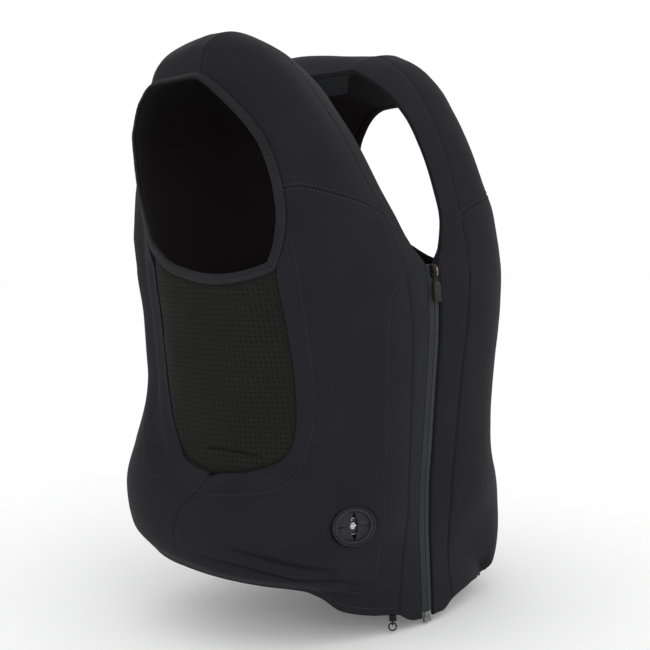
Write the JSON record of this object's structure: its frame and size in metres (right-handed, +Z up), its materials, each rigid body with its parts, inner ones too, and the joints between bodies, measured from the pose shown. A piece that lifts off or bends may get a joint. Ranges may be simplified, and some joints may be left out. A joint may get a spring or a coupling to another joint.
{
  "type": "airbag vest",
  "caption": "Sleeveless padded airbag vest worn over the shoulders, with a front zip, bound armholes, perforated side panels and a round rubber port on the right front.",
  "frame": {"origin": "middle of the line where the vest sits on the shoulders, on the inside of the cloth", "axes": "+Z up, the wearer faces -Y, +X is the wearer's left"},
  "size_m": [0.428, 0.3463, 0.5941],
  "materials": {
    "shell": "matte stretch cloth",
    "band": "matte stretch cloth",
    "mesh": "perforated cloth",
    "binding": "folded binding",
    "zip_tape": "woven tape",
    "zip_chain": "coil",
    "zip_end": "satin",
    "zip_slider": "darkened",
    "zip_pull": "moulded",
    "dark_metal": "black",
    "grommet_rubber": "moulded",
    "grommet_leaf": "slit leaf",
    "coupling_metal": "bright",
    "label": "woven, bare"
  },
  "bodies": {
    "vest": {"back_panel": "shell", "right_front_panel": "shell", "left_front_panel": "shell", "right_yoke": "shell", "left_yoke": "shell", "right_front_band": "band", "left_front_band": "band", "right_side_mesh": "mesh", "left_side_mesh": "mesh", "right_armhole_binding": "binding", "left_armhole_binding": "binding", "right_zip_tape": "zip_tape", "left_zip_tape": "zip_tape", "zip_chain": "zip_chain", "zip_end_box": "zip_end", "zip_slider": "zip_slider", "foot_slider": "dark_metal", "grommet_ring": "grommet_rubber", "grommet_diaphragm": "grommet_leaf", "grommet_coupling": "coupling_metal", "neck_label": "label"},
    "pull": {"zip_pull": "zip_pull"},
    "ring": {"foot_ring": "dark_metal"}
  },
  "joints": [
    {"name": "zip_pull_hinge", "type": "hinge", "parent": "vest", "child": "pull", "pos_m": [0, -0.15979, -0.21855], "axis": [-1, 0, 0], "range_deg": [0, 150]},
    {"name": "foot_ring_hinge", "type": "hinge", "parent": "vest", "child": "ring", "pos_m": [-0.04926, -0.14813, -0.56533], "axis": [-0.766, 0.6428, 0], "range_deg": [-60, 80]}
  ]
}
